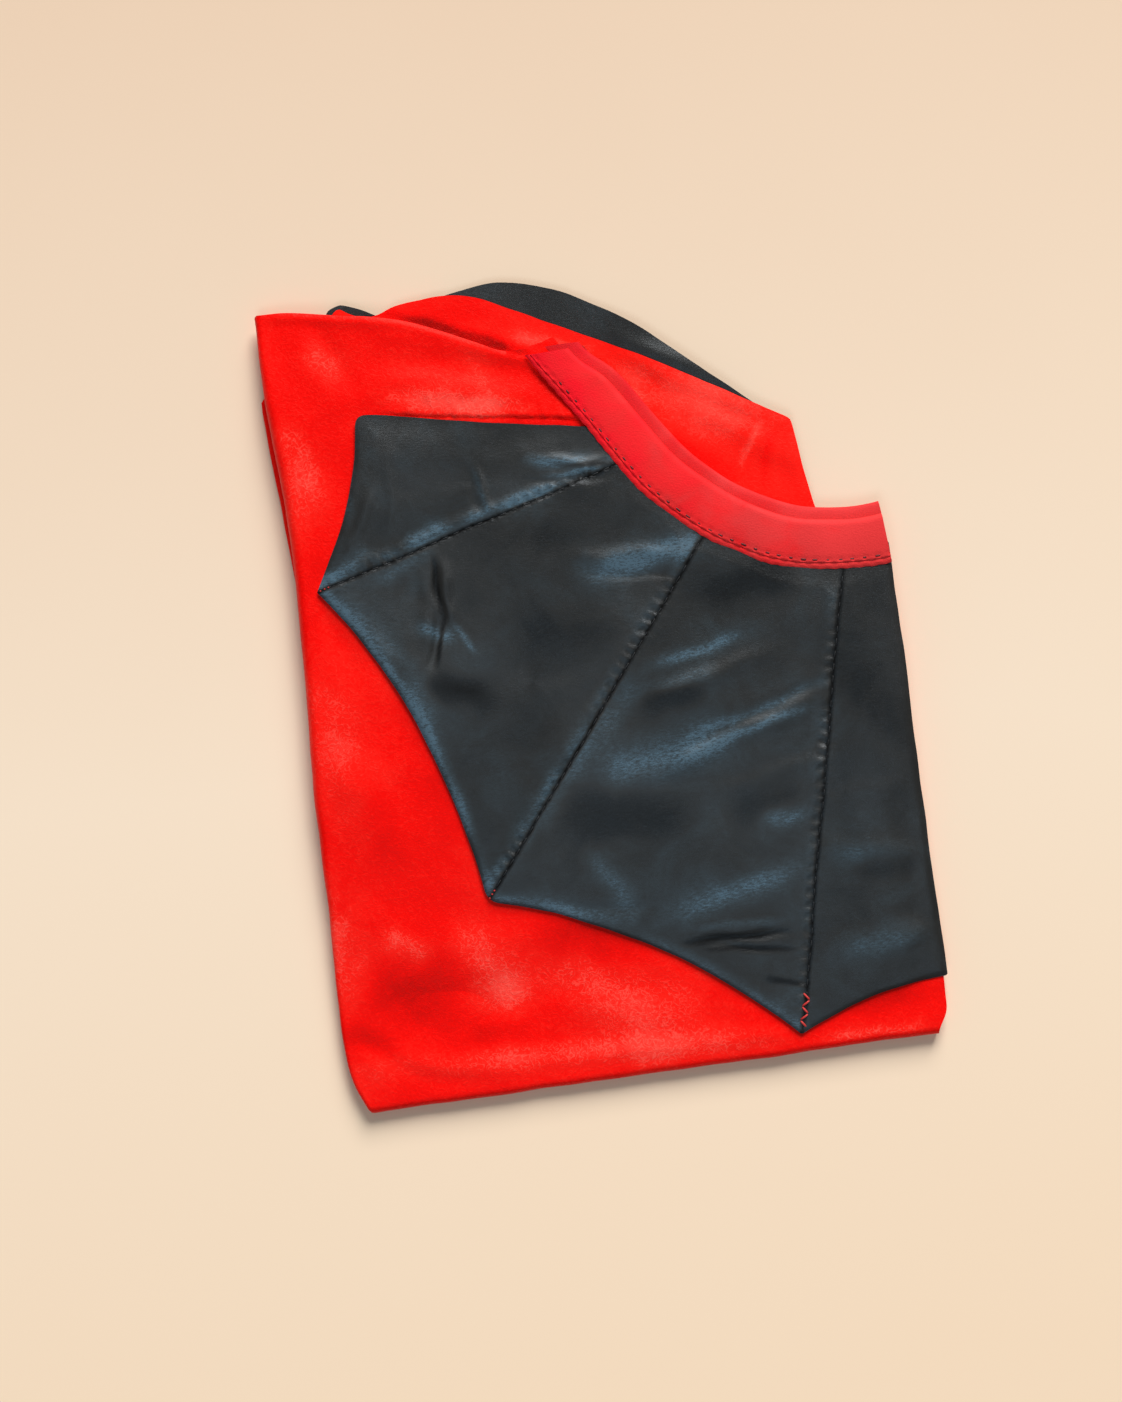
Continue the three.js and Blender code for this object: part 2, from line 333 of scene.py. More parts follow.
def make_mesh(name, points, faces, material, thickness=None, painted_light=None):
    points = points.copy()
    points[:, :2] += unevenness(points[:, :2])
    mesh = bpy.data.meshes.new(name)
    mesh.from_pydata((points * MM).tolist(), [], faces)
    mesh.materials.append(material)
    mesh.shade_smooth()
    mesh.update()
    # Painted light kept on the mesh: painted sheen where above 0, painted shade where below 0
    if painted_light is not None:
        layer = mesh.attributes.new("painted_light", "FLOAT", "POINT")
        layer.data.foreach_set("value", np.clip(painted_light, -2, 1).astype(np.float32))
    obj = bpy.data.objects.new(name, mesh)
    bpy.context.collection.objects.link(obj)
    if thickness:
        thicken(obj, thickness)
    return obj


def thicken(obj, thickness):
    """Gives the cloth its two faces, with a crisp rim between them."""
    solid = obj.modifiers.new("cloth", "SOLIDIFY")
    solid.thickness = thickness * MM
    solid.offset = -1
    depsgraph = bpy.context.evaluated_depsgraph_get()
    made = bpy.data.meshes.new_from_object(obj.evaluated_get(depsgraph))
    obj.modifiers.clear()
    made.set_sharp_from_angle(angle=math.radians(62))
    obj.data = made


def with_height(plan, z):
    return np.column_stack([plan, z])


def upward(points, faces):
    """The faces, turned so that they look up."""
    turned = []
    for f in faces:
        a, b, c = points[f[0]], points[f[1]], points[f[2]]
        area = (b[0] - a[0]) * (c[1] - a[1]) - (b[1] - a[1]) * (c[0] - a[0])
        turned.append(f if area > 0 else tuple(reversed(f)))
    return turned


# ---------------------------------------------------------------- materials

def new_material(name):
    material = bpy.data.materials.new(name)
    material.use_nodes = True
    tree = material.node_tree
    return material, tree, tree.nodes["Principled BSDF"]


def node(tree, kind, **values):
    made = tree.nodes.new(kind)
    for key, value in values.items():
        if key in made.inputs:
            made.inputs[key].default_value = value
        else:
            setattr(made, key, value)
    return made


def object_coordinates(tree, scale=(1, 1, 1), turn=0.0):
    coordinates = tree.nodes.new("ShaderNodeTexCoord")
    mapping = tree.nodes.new("ShaderNodeMapping")
    mapping.inputs["Scale"].default_value = scale
    mapping.inputs["Rotation"].default_value = (0, 0, turn)
    tree.links.new(coordinates.outputs["Object"], mapping.inputs["Vector"])
    return mapping.outputs["Vector"]


def noise(tree, vector, scale, detail=3.0, roughness=0.5, distortion=0.0):
    made = node(tree, "ShaderNodeTexNoise", Scale=scale, Detail=detail,
                Roughness=roughness, Distortion=distortion)
    tree.links.new(vector, made.inputs["Vector"])
    return made.outputs["Fac"]


def ramp(tree, value, stops):
    """stops: (position, colour) pairs."""
    made = tree.nodes.new("ShaderNodeValToRGB")
    elements = made.color_ramp.elements
    while len(elements) < len(stops):
        elements.new(0.5)
    for element, (position, colour) in zip(elements, stops):
        element.position = position
        element.color = (*colour, 1)
    tree.links.new(value, made.inputs["Fac"])
    return made.outputs["Color"]


def maths(tree, operation, a, b):
    made = tree.nodes.new("ShaderNodeMath")
    made.operation = operation
    for socket, value in zip(made.inputs, (a, b)):
        if isinstance(value, (int, float)):
            socket.default_value = value
        else:
            tree.links.new(value, socket)
    return made.outputs["Value"]


def bump(tree, shader, height, strength, distance):
    made = node(tree, "ShaderNodeBump", Strength=strength, Distance=distance)
    tree.links.new(height, made.inputs["Height"])
    tree.links.new(made.outputs["Normal"], shader.inputs["Normal"])


def painted_light_value(tree):
    """The mesh's painted light: above 0 painted sheen, down to -2 painted shade in a groove."""
    made = tree.nodes.new("ShaderNodeAttribute")
    made.attribute_name = "painted_light"
    return made.outputs["Fac"]


def map_range(tree, value, low, high, start=0.0, end=1.0):
    made = tree.nodes.new("ShaderNodeMapRange")
    made.inputs["From Min"].default_value = start
    made.inputs["From Max"].default_value = end
    made.inputs["To Min"].default_value = low
    made.inputs["To Max"].default_value = high
    tree.links.new(value, made.inputs["Value"])
    return made.outputs["Result"]


def squiggles(tree, vector, scale, width):
    """Thin curly marks, 1 on a mark and 0 off it, where a distorted noise passes its middle."""
    field = noise(tree, vector, scale, detail=0.5, distortion=1.6)
    off = maths(tree, "ABSOLUTE", maths(tree, "SUBTRACT", field, 0.5), 0)
    return map_range(tree, off, 1.0, 0.0, end=width)


def mix_colour(tree, factor, a, b):
    """a where the factor is 0, b where it is 1; each a colour or an output."""
    made = tree.nodes.new("ShaderNodeMix")
    made.data_type = "RGBA"
    tree.links.new(factor, made.inputs["Factor"])
    for socket, value in zip((made.inputs[6], made.inputs[7]), (a, b)):
        if isinstance(value, tuple):
            socket.default_value = (*value, 1)
        else:
            tree.links.new(value, socket)
    return made.outputs[2]


def red_satin(name, paler=0.0, curl=1.0):
    """Crepe-backed satin with curly nap marks; painted sheen makes it paler and pinker, painted
    shade darker.
    """
    material, tree, shader = new_material(name)
    vector = object_coordinates(tree)
    patches = noise(tree, vector, 24, detail=3.5, roughness=0.6, distortion=0.5)
    marks = squiggles(tree, vector, 360, 0.07)
    fleck = noise(tree, vector, 800, detail=2.0, roughness=0.75)
    # Painted sheen above 0 and painted shade below 0 from the mesh; random patches add both tone
    # that varies at random and painted sheen
    tone_and_painted_light = maths(tree, "ADD", maths(tree, "MULTIPLY", painted_light_value(tree), 0.25),
                 maths(tree, "MULTIPLY", patches, 0.60))
    # The curly marks show paler where the painted sheen is
    sheen_on_marks = map_range(tree, painted_light_value(tree), 0.09 * curl, 0.20 * curl)
    curls = maths(tree, "ADD", maths(tree, "MULTIPLY", marks, sheen_on_marks),
                  maths(tree, "MULTIPLY", fleck, 0.22 * curl))
    shade = maths(tree, "ADD", maths(tree, "ADD", tone_and_painted_light, curls), 0.08 + paler + 0.12 * (1 - curl))
    # The two darkest stops are painted shade, the pale pink top stop is painted sheen
    colour = ramp(tree, shade, [(0.0, (0.30, 0.0002, 0.0002)), (0.24, (0.68, 0.0004, 0.0003)),
                                (0.46, (0.90, 0.0012, 0.0006)), (0.62, (0.96, 0.0110, 0.0060)),
                                (0.88, (1.0, 0.082, 0.060))])
    tree.links.new(colour, shader.inputs["Base Color"])
    tree.links.new(map_range(tree, fleck, 0.40, 0.54), shader.inputs["Roughness"])
    shader.inputs["Specular IOR Level"].default_value = 0.42
    shader.inputs["Specular Tint"].default_value = (1.0, 0.20, 0.15, 1)
    height = maths(tree, "ADD", fleck, maths(tree, "MULTIPLY", marks, 0.3))
    bump(tree, shader, height, 0.3, 0.0005)
    return material


def black_satin():
    """Black satin: the cool, streaky light its long floats catch is painted sheen in its colour,
    and painted shade darkens it.
    """
    material, tree, shader = new_material("black_satin")
    vector = object_coordinates(tree)
    floats = noise(tree, object_coordinates(tree, (1, 2.6, 1), 0.6), 560, detail=4.0,
                   roughness=0.9, distortion=0.3)
    patches = noise(tree, vector, 40, detail=4.0, roughness=0.65, distortion=0.6)
    # Painted sheen from the mesh's values above 0 and from random patches, painted shade from
    # values below 0
    painted_sheen_and_shade = maths(tree, "ADD", maths(tree, "MULTIPLY", painted_light_value(tree), 0.80),
                maths(tree, "MULTIPLY", maths(tree, "SUBTRACT", patches, 0.50), 0.8))
    speckle = map_range(tree, floats, 0.25, 1.45, 0.36, 0.64)
    shade = maths(tree, "ADD", maths(tree, "MULTIPLY", painted_sheen_and_shade, speckle), 0.25)
    # The blue upper stops are painted sheen, the darkest stop painted shade
    colour = ramp(tree, shade, [(0.0, (0.0030, 0.0027, 0.0024)), (0.25, (0.0130, 0.0124, 0.0112)),
                                (0.55, (0.024, 0.034, 0.040)), (1.0, (0.060, 0.110, 0.150))])
    tree.links.new(colour, shader.inputs["Base Color"])
    tree.links.new(map_range(tree, floats, 0.26, 0.52), shader.inputs["Roughness"])
    # Painted shade also dims the specular shine in the grooves
    shine_dimmed_by_painted_shade = maths(tree, "ADD", maths(tree, "MULTIPLY", painted_light_value(tree), 0.5), 1.0)
    tree.links.new(map_range(tree, shine_dimmed_by_painted_shade, 0.03, 0.5), shader.inputs["Specular IOR Level"])
    shader.inputs["Specular Tint"].default_value = (0.86, 0.94, 1.0, 1)
    shader.inputs["Anisotropic"].default_value = 0.3
    bump(tree, shader, floats, 0.35, 0.0004)
    return material


def binding(name, shade):
    """Matte woven binding, pinker towards the centre back; shade is painted shade, darkest at its
    front end.
    """
    material, tree, shader = new_material(name)
    vector = object_coordinates(tree)
    patches = noise(tree, vector, 75, detail=3.0, distortion=0.4)
    place = tree.nodes.new("ShaderNodeSeparateXYZ")
    tree.links.new(vector, place.inputs["Vector"])
    tone_along_band = maths(tree, "ADD", maths(tree, "MULTIPLY", place.outputs["X"], 8.0),
                 maths(tree, "MULTIPLY", maths(tree, "SUBTRACT", patches, 0.28), 1.3))
    tones = [(0.12, (1.0, 0.001, 0.013)), (0.6, (0.86, 0.014, 0.017)), (0.95, (0.76, 0.034, 0.035))]
    # Painted shade: shade darkens the tones, most at the band's front end
    shades = [shade, shade ** 0.6, shade ** 0.25]
    colour = ramp(tree, tone_along_band, [(at, tuple(dim * c for c in tone))
                               for (at, tone), dim in zip(tones, shades)])
    threads = node(tree, "ShaderNodeTexVoronoi", Scale=1700.0, Randomness=0.7)
    tree.links.new(vector, threads.inputs["Vector"])
    colour = mix_colour(tree, map_range(tree, threads.outputs["Distance"], 0.0, 0.3), colour,
                        (0.50 * shade, 0.004, 0.004))
    tree.links.new(colour, shader.inputs["Base Color"])
    shader.inputs["Roughness"].default_value = 0.75
    shader.inputs["Specular IOR Level"].default_value = 0.2
    shader.inputs["Sheen Weight"].default_value = 0.015
    shader.inputs["Sheen Roughness"].default_value = 0.55
    shader.inputs["Sheen Tint"].default_value = (1.0, 0.5, 0.5, 1)
    bump(tree, shader, threads.outputs["Distance"], 0.3, 0.0003)
    return material


def thread(name, colour, dark):
    """Twisted sewing thread."""
    material, tree, shader = new_material(name)
    twist = node(tree, "ShaderNodeTexWave", Scale=900.0, Distortion=1.5)
    tree.links.new(object_coordinates(tree, (1, 1, 1), 0.8), twist.inputs["Vector"])
    tree.links.new(ramp(tree, twist.outputs["Fac"], [(0.2, dark), (0.8, colour)]),
                   shader.inputs["Base Color"])
    shader.inputs["Roughness"].default_value = 0.5
    bump(tree, shader, twist.outputs["Fac"], 0.4, 0.0001)
    return material


def fastener():
    """Hook-and-loop tape: a dense field of tiny loops."""
    material, tree, shader = new_material("black_fastener")
    loops = node(tree, "ShaderNodeTexVoronoi", Scale=1100.0)
    tree.links.new(object_coordinates(tree), loops.inputs["Vector"])
    tree.links.new(ramp(tree, loops.outputs["Distance"],
                        [(0.1, (0.045, 0.045, 0.045)), (0.6, (0.008, 0.008, 0.008))]),
                   shader.inputs["Base Color"])
    shader.inputs["Roughness"].default_value = 0.85
    bump(tree, shader, loops.outputs["Distance"], 1.0, 0.0008)
    return material


def floor_paint():
    """Plain matte backdrop paper, a little darker away from the middle: painted fall-off of the
    light.
    """
    material, tree, shader = new_material("backdrop")
    vector = object_coordinates(tree)
    place = tree.nodes.new("ShaderNodeSeparateXYZ")
    tree.links.new(vector, place.inputs["Vector"])
    mottle = noise(tree, vector, 7, detail=2.0)
    along = maths(tree, "ADD", maths(tree, "MULTIPLY", place.outputs["Y"], 1.7),
                  maths(tree, "MULTIPLY", mottle, 0.1))
    # Painted fall-off of the light along Y, darkest towards the top
    colour = ramp(tree, maths(tree, "ADD", along, 0.45),
                  [(0.02, (0.865, 0.668, 0.482)), (0.45, (0.862, 0.698, 0.536)),
                   (0.98, (0.768, 0.576, 0.420))])
    tree.links.new(colour, shader.inputs["Base Color"])
    shader.inputs["Roughness"].default_value = 0.9
    shader.inputs["Specular IOR Level"].default_value = 0.1
    return material


RED = red_satin("red_satin", -0.02)
LINING_RED = red_satin("red_lining", 0.03, 0.5)
BLACK = black_satin()
BINDING = binding("red_binding", 1.0)
# The under band has painted shade, darkest at its front end where it lies in the groove beside the
# top band
SHADED_UNDER_BINDING = binding("under_binding_painted_shade", 0.66)
# The band's lowered rim has a slight painted shade
RIM = binding("band_rim", 0.92)
BLACK_THREAD = thread("black_thread", (0.03, 0.035, 0.04), (0.004, 0.004, 0.004))
DARK_THREAD = thread("seam_thread", (0.16, 0.004, 0.006), (0.05, 0.001, 0.002))
RED_THREAD = thread("red_thread", (0.75, 0.05, 0.04), (0.35, 0.01, 0.01))
FASTENER = fastener()


# ---------------------------------------------------------------- yoke plan

YOKE_TIPS = [
    reach("left_yoke_front_gore", -1, 2),
    reach("left_yoke_shoulder_gore", -1, 0),
    reach("left_yoke_shoulder_gore", 0.1, -1),
    reach("left_yoke_side_gore", 0, -1),
    reach("left_yoke_back_gore", 3, -1),
]
RIBS = [(polar(math.radians(a), NECK_RADIUS - SEAM_TUCK), tip)
        for a, tip in zip(RIB_NECK_ANGLES, YOKE_TIPS[1:4])]


def rounded(outline, corners, radius):
    """The outline with the corners nearest to the given points cut round."""
    line = resample(outline, 1.0, closed=True)
    for corner in corners:
        near = np.linalg.norm(line - corner, axis=1)
        keep = near > radius
        first = np.argmax(keep & ~np.roll(keep, -1))
        line = np.roll(line, -first - 1, axis=0)
        near = np.roll(near, -first - 1)
        gap = int(np.argmax(near > radius))
        start, end = line[-1], line[gap]
        t = np.linspace(0, 1, gap + 2)[1:-1, None]
        curve = (1 - t) ** 2 * start + 2 * t * (1 - t) * corner + t ** 2 * end
        line = np.vstack([curve, line[gap:]])
    return line


def yoke_outline(inset=0.0):
    tips = [t + inset * (NECK - t) / np.linalg.norm(NECK - t) for t in YOKE_TIPS]
    scallops = [bow(a, b, d) for a, b, d in zip(tips[:-1], tips[1:], SCALLOPS)]
    neck_edge = neckline(SEAM_TUCK, STRAIGHT_LENGTH - YOKE_SET_BACK - inset)
    neck_edge[:, 0] = np.minimum(neck_edge[:, 0], RIGHT + 0.5 - inset)
    outline = np.vstack([s[:-1] for s in scallops] + [tips[-1:], neck_edge])
    outline[:, 0] = np.minimum(outline[:, 0], RIGHT + 0.5 - 3 * inset)
    return rounded(outline, [tips[0], tips[2]], 4)


YOKE_OUTLINE = yoke_outline()


# ---------------------------------------------------------------- relief of each ply

BODY_CREASES = [
    # start, end, width, height
    ((-96, -86), (-40, -110), 12, 1.0),
    ((-88, -118), (-20, -112), 13, -1.1),
    ((-112, -131), (-60, -143), 5, 0.7),
    ((-114, -121), (-88, -140), 4.5, -0.7),
    ((-60, -142), (60, -147), 5, 0.6),
    ((-40, -120), (20, -136), 8, 0.6),
    ((-106, -20), (-80, -58), 9, 0.7),
    ((-105, 40), (-92, 8), 5, -0.5),
    ((-100, 150), (-88, 112), 6, 0.6),
    ((-92, 148), (-78, 118), 4, -0.45),
    ((-70, 122), (-8, 108), 5, 0.8),
    ((-78, 132), (-10, 117), 6, -0.5),
    ((-66, 141), (-16, 122), 3, 0.35),
]

YOKE_CREASES = [
    ((-58, 52), (-57, 28), 1.3, -1.0),
    ((-54.5, 50), (-54, 26), 2.4, 0.8),
    ((-58, 31), (-65, 12), 1.6, -0.7),
    ((-62, 48), (-64, 20), 2.6, 0.45),
    ((18, -106), (57, -107), 1.5, -0.8),
    ((24, -108), (57, -113), 1.3, -0.5),
    ((20, -100), (54, -102), 2.6, 0.3),
    ((6, -42), (82, -20), 4.0, 0.9),
    ((22, -33), (86, -14), 2.2, -0.5),
    ((16, -14), (64, 1), 3.4, 0.7),
    ((34, -52), (86, -41), 3.5, 0.5),
    ((-6, 45), (40, 41), 3.4, 0.75),
    ((0, 38), (34, 34), 2.0, -0.45),
    ((68, -76), (114, -84), 4.5, 0.6),
    ((66, -116), (112, -113), 5.0, 0.8),
    ((74, -60), (112, -56), 4.0, 0.4),
    ((-75, 82), (-90, 56), 2.6, 0.6),
    ((-68, 96), (-72, 62), 2.0, 0.3),
    ((-35, 84), (-32, 66), 1.3, 0.5),
    ((-40, 86), (-37, 66), 1.6, -0.3),
    ((-12, 84), (16, 77), 2.2, 0.7),
    ((-16, 76), (14, 74), 1.4, -0.5),
    ((-86, 30), (-66, -24), 4.0, 0.6),
    ((-48, -72), (-8, 0), 6.0, 0.7),
    ((-44, -90), (-4, -98), 3.0, 0.7),
    ((-36, -84), (10, -92), 2.0, -0.45),
]

# Painted light on the yoke: painted sheen where the amount is above 0, painted shade where it is
# below 0
YOKE_PAINTED_LIGHT = [
    ((0, 38), (45, 46), 5, 1.0),
    ((20, 1), (55, 8), 2.6, 0.75),
    ((10, -9), (42, -3), 3, 0.4),
    ((27, -35), (76, -23), 2.2, 0.8),
    ((32, -27), (82, -15), 1.8, 0.6),
    ((-10, -37), (46, -31), 8, 0.7),
    ((16, 1), (-46, -66), 5, 0.5),
    ((-96, 42), (-72, 12), 4.5, 0.45),
    ((-72, 14), (-63, -58), 5.0, 0.45),
    ((-44, -79), (0, -95), 4.0, 0.4),
    ((-14, -64), (1, -92), 4.5, 0.5),
    ((12, -94), (66, -84), 5.5, 0.7),
    ((52, -64), (72, -62), 3.5, 0.6),
    ((76, -80), (112, -84), 5, 0.45),
    ((72, -117), (108, -112), 5, 0.5),
    ((-18, 84), (8, 81), 2.2, 0.9),
    ((-32, 67), (-4, 74), 2.8, 0.75),
    ((-68, 60), (-50, 65), 2.8, 0.6),
    ((-12, 78), (14, 77), 1.0, 0.8),
    ((-6, 81), (14, 78.5), 0.9, -0.9),
    ((-58, 52), (-57, 29), 0.55, -1.5),
    ((-57, 30), (-62, 12), 0.7, -1.1),
    ((-65, 7), (-45, 0), 3.5, -0.6),
    ((19, -106), (55, -106), 0.9, -1.6),
    ((27, -109), (57, -113), 0.7, -1.3),
    ((20, -101), (58, -102), 1.6, 0.4),
    ((46, -123), (60, -127), 1.1, -0.9),
    ((-68, 27), (-53, 22), 3, 0.8),
    ((-54, 27), (-46, 15), 1.2, 0.7),
    ((-98, 47), (-80, 60), 3.5, 0.5),
    ((-84, 46), (-56, 56), 3, 0.45),
    ((-82, 104), (-88, 70), 2.4, 0.35),
    ((-37, 84), (-33, 66), 1.0, 0.45),
    ((40, 26), (78, 28), 6, -0.55),
    ((13, -12), (38, -12), 5, -0.5),
    ((-66, 4), (-40, -4), 5, -0.6),
    ((-30, 20), (10, 16), 8, -0.3),
    ((-24, -50), (24, -58), 9, -0.5),
    ((80, 4), (114, -40), 9, -0.3),
    ((84, -88), (112, -86), 6, -0.35),
    ((40, -60), (70, -52), 6, -0.35),
    ((-40, 60), (0, 52), 6, -0.2),
]

# Painted light on the top body ply: painted sheen above 0, painted shade below 0, as along the
# bottom fold
BODY_PAINTED_LIGHT = [
    ((-94, -86), (-76, -99), 5, 0.9),
    ((-67, -86), (-46, -124), 7, 0.9),
    ((-38, -105), (15, -137), 12, 0.75),
    ((-104, -137), (62, -147), 6, 0.7),
    ((-112, -58), (-110, -108), 6, 0.6),
    ((-103, 12), (-98, -60), 10, 0.45),
    ((-68, 115), (-12, 104), 4.5, 1.0),
    ((-107, 114), (-103, 78), 7, 0.75),
    ((-97, 137), (-82, 127), 5, 0.6),
    ((62, -150), (108, -150), 3, 0.7),
    ((-103, -108), (-66, -114), 12, -1.0),
    ((-130, -156), (130, -156), 3.0, -1.0),
    ((-114, -119), (-92, -130), 5, -0.9),
    ((-68, -127), (-44, -131), 4, -0.8),
    ((-38, -90), (6, -108), 7, -0.8),
    ((72, -140), (106, -134), 5, -0.9),
    ((-100, -20), (-84, -60), 8, -0.4),
    ((-90, 146), (-30, 128), 7, -0.25),
]

# Painted light on the right yoke lining: painted sheen above 0, painted shadow below 0, as beside
# the left body's front edge
LINING_PAINTED_LIGHT = [
    ((16, 118), (82, 78), 15, 0.6),
    ((-24, 133), (14, 123), 4, 1.0),
    ((73, 87), (62, 67), 1.2, 0.5),
    ((78, 84), (70, 62), 2.5, -0.5),
    ((-72, 152), (-12, 127), 2.2, -1.3),
    ((-54, 144.5), (-14, 126), 2.4, -2.0),
    ((14, 104), (60, 66), 4, -0.6),
    ((-60, 147), (-20, 142), 5, -0.3),
]

LINING_CREASES = [
    ((-60, 148), (20, 118), 4, 0.8),
    ((-30, 150), (60, 106), 7, 1.0),
    ((0, 128), (72, 84), 4, -0.8),
    ((30, 112), (86, 70), 5, 0.9),
]


def creases(plan, items):
    total = np.zeros(len(plan))
    for seed, (start, end, width, height) in enumerate(items):
        total += crease(plan, start, end, width, height, seed=seed)
    return total


def front_strip(plan):
    """Signed distance above the yoke's front edge, and the width of lining that shows there."""
    start = YOKE_TIPS[0]
    end = neckline(SEAM_TUCK, STRAIGHT_LENGTH - YOKE_SET_BACK)[-1]
    above = -side_of(plan, end, start)
    along = (plan - start) @ (end - start) / np.linalg.norm(end - start) ** 2
    width = LINING_SHOWS * smooth_step(0.08, 0.75, along)
    return above, along, width


FRONT_EDGE = [(-11.6, 124.6), (-20, 127.4), (-41, 137.2), (-60, 144.6), (-84, 149.2), (-100, 152.9),
              (-111.5, 153.6)]


def gathered_edge(plan):
    """The body satin bunches up in small gathers just above the yoke's front edge."""
    above, along, width = front_strip(plan)
    teeth = 0.35 * ripple(np.column_stack([plan[:, 0], plan[:, 0] * 0]), 1.8, 8)
    past = above - width - teeth
    span = smooth_step(0.02, 0.2, along) * smooth_step(1.25, 1.0, along)
    return 1.5 * smooth_step(-0.5, 0.9, past) * np.exp(-np.maximum(past, 0) / 13) * span


def body_relief(plan):
    """The top ply's relief where nothing lies on it."""
    relief = creases(plan, BODY_CREASES)
    relief += 0.6 * ripple(plan, 48, 3) + 0.2 * ripple(plan, 17, 4) + 0.05 * ripple(plan, 7, 5)
    away = distance_to(plan, YOKE_OUTLINE, closed=True)[0]
    covered = inside(plan, YOKE_OUTLINE)
    shown = np.where(covered, 0, smooth_step(0, 7, away))
    gathers = 0.35 * ripple(np.column_stack([plan[:, 0], plan[:, 1] * 0.25]), 2.4, 9)
    near = hill(front_strip(plan)[0] - 5, 4)
    front = distance_to(plan, spline(FRONT_EDGE))[0]
    relief += 0.5 * hill(front - 1.6, 2.4) - 0.6 * np.exp(-front / 0.6)
    return relief * shown + np.where(covered, 0, gathered_edge(plan) * (1 + gathers * near))


def left_top_height(plan):
    return level(plan, LEFT_TOP)


def rib_relief(plan):
    """Each rib is a stitched ditch; the cloth above it slopes in and puckers at each stitch."""
    total = np.zeros(len(plan))
    for number, (start, end) in enumerate(RIBS):
        away, at = distance_to(plan, [start, end])
        side = np.sign(side_of(plan, start, end))
        length = np.linalg.norm(end - start)
        upper = (side < 0) * smooth_step(0, 12, at) * smooth_step(length + 4, length - 18, at)
        beat = at + 1.2 * ripple(plan, 9, 30 + number)
        lively = np.clip(0.6 + 0.7 * ripple(plan, 24, 40 + number), 0, 1.3)
        puckers = np.cos(2 * math.pi * beat / STITCH_PITCH + side * 0.9)
        depth = RIB_DEPTHS[number]
        total += depth * (0.06 + 0.42 * upper) * lively * puckers * hill(away - 1.6, 1.8)
        total += depth * (0.45 * upper * hill(away - 3.2, 2.6)
                          - (0.14 + 0.36 * upper) * hill(away, 0.6))
        total -= 1.1 * depth * lively * upper * (np.exp(-away / 4.5) - np.exp(-away / 0.8))
    return total


def outside_band(plan):
    """Signed distance from the band's outer edge, away from the neck."""
    start = polar(STRAIGHT_FROM, NECK_RADIUS)
    ahead = (plan - start) @ straight_direction() > 0
    beside = side_of(plan, start, start + straight_direction())
    return np.where(ahead, beside, np.linalg.norm(plan - NECK, axis=1) - NECK_RADIUS)


def yoke_height(plan):
    """The top of the yoke's black outer."""
    edge, _ = distance_to(plan, YOKE_OUTLINE, closed=True)
    loose = smooth_step(0, 9, edge)
    relief = creases(plan, YOKE_CREASES)
    relief += 0.85 * ripple(plan, 46, 11) + 0.30 * ripple(plan, 17, 12) + 0.05 * ripple(plan, 6, 13)
    rise = 1 - np.exp(-edge / 4.5)
    hem = 0.75 * rise - 0.6 * np.exp(-edge / 0.6)
    hem *= smooth_step(1, -16, front_strip(plan)[0])
    back = smooth_step(RIGHT - 18, RIGHT - 3, plan[:, 0])
    hem -= back * (0.75 * rise + 1.2 * np.exp(-edge / 1.5))
    height = relief * (0.3 + 0.7 * loose) + hem + rib_relief(plan)
    height = np.minimum(height, 0.1 + 2.5 * smooth_step(-4, 26, outside_band(plan)))
    return left_top_height(plan) + 2 * PLY + 0.3 + np.maximum(height, -1.2)


# ---------------------------------------------------------------- folded body panels

LEFT_EDGE = [
    (-110.4, -153.6), (-115.2, -139.4), (-116.8, -112), (-115.2, -43), (-111.9, 29), (-110.6, 67),
    (-112.6, 124), (-112.4, 153.6),
]


def left_edge(y):
    """The packet's left edge at each height of the plan."""
    x, at = spline(LEFT_EDGE).T
    return np.interp(y, at, x)


def fold_left(x, z_top, z_under, fold_x, y):
    """Wraps what lies beyond the left fold underneath."""
    radius = (z_top - z_under) / 2
    past = fold_x - x
    turn = np.clip(past / radius, 0, math.pi)
    on_roll = past > 0
    done = past > math.pi * radius
    new_x = np.where(on_roll, fold_x - radius * np.sin(turn), x)
    new_x = np.where(done, fold_x + past - math.pi * radius, new_x)
    new_z = np.where(on_roll, z_under + radius + radius * np.cos(turn), z_top)
    outer = fold_x - radius
    near = smooth_step(90, 0, new_x - outer)
    return new_x + (left_edge(y) - outer) * near, new_z


def fold_bottom(y, z, fold_y):
    """Wraps what lies beyond the bottom fold underneath, about the hinge's height."""
    radius = z - FOLD_HEIGHT
    past = fold_y - y
    turn = np.clip(past / radius, 0, math.pi)
    done = past > math.pi * radius
    new_y = np.where(past > 0, fold_y - radius * np.sin(turn), y)
    new_y = np.where(done, fold_y + past - math.pi * radius, new_y)
    new_z = np.where(past > 0, FOLD_HEIGHT + radius * np.cos(turn), z)
    return new_y, new_z


def panel_outline(neck_offset, inset, fold_x, fold_y):
    """A body panel laid out flat before folding: neck at the top right, its shape set about the
    fold lines.
    """
    neck_edge = neckline(neck_offset, STRAIGHT_LENGTH - inset)
    neck_edge[:, 0] = np.minimum(neck_edge[:, 0], RIGHT - inset)
    front = spline([neck_edge[-1]] + [(x, y - inset) for x, y in FRONT_EDGE[1:-1]]
                   + [(TOP_CORNER[0] + inset, TOP - inset)])
    across = 2 * fold_x
    under = spline([(across + 20, 112), (across - 60, 64), (across - 100, 20)])
    side = [(across - 100, fold_y - 150)]
    hem = spline([
        (across - 60, 2 * fold_y - 84),
        (across + 20, 2 * fold_y - 116),
        (fold_x, 2 * fold_y - TAIL_CORNER[1] + inset),
        (10, 2 * fold_y - 106),
        (RIGHT - inset, 2 * fold_y - 32),
    ])
    return np.vstack([neck_edge, front[1:], under, side, hem])


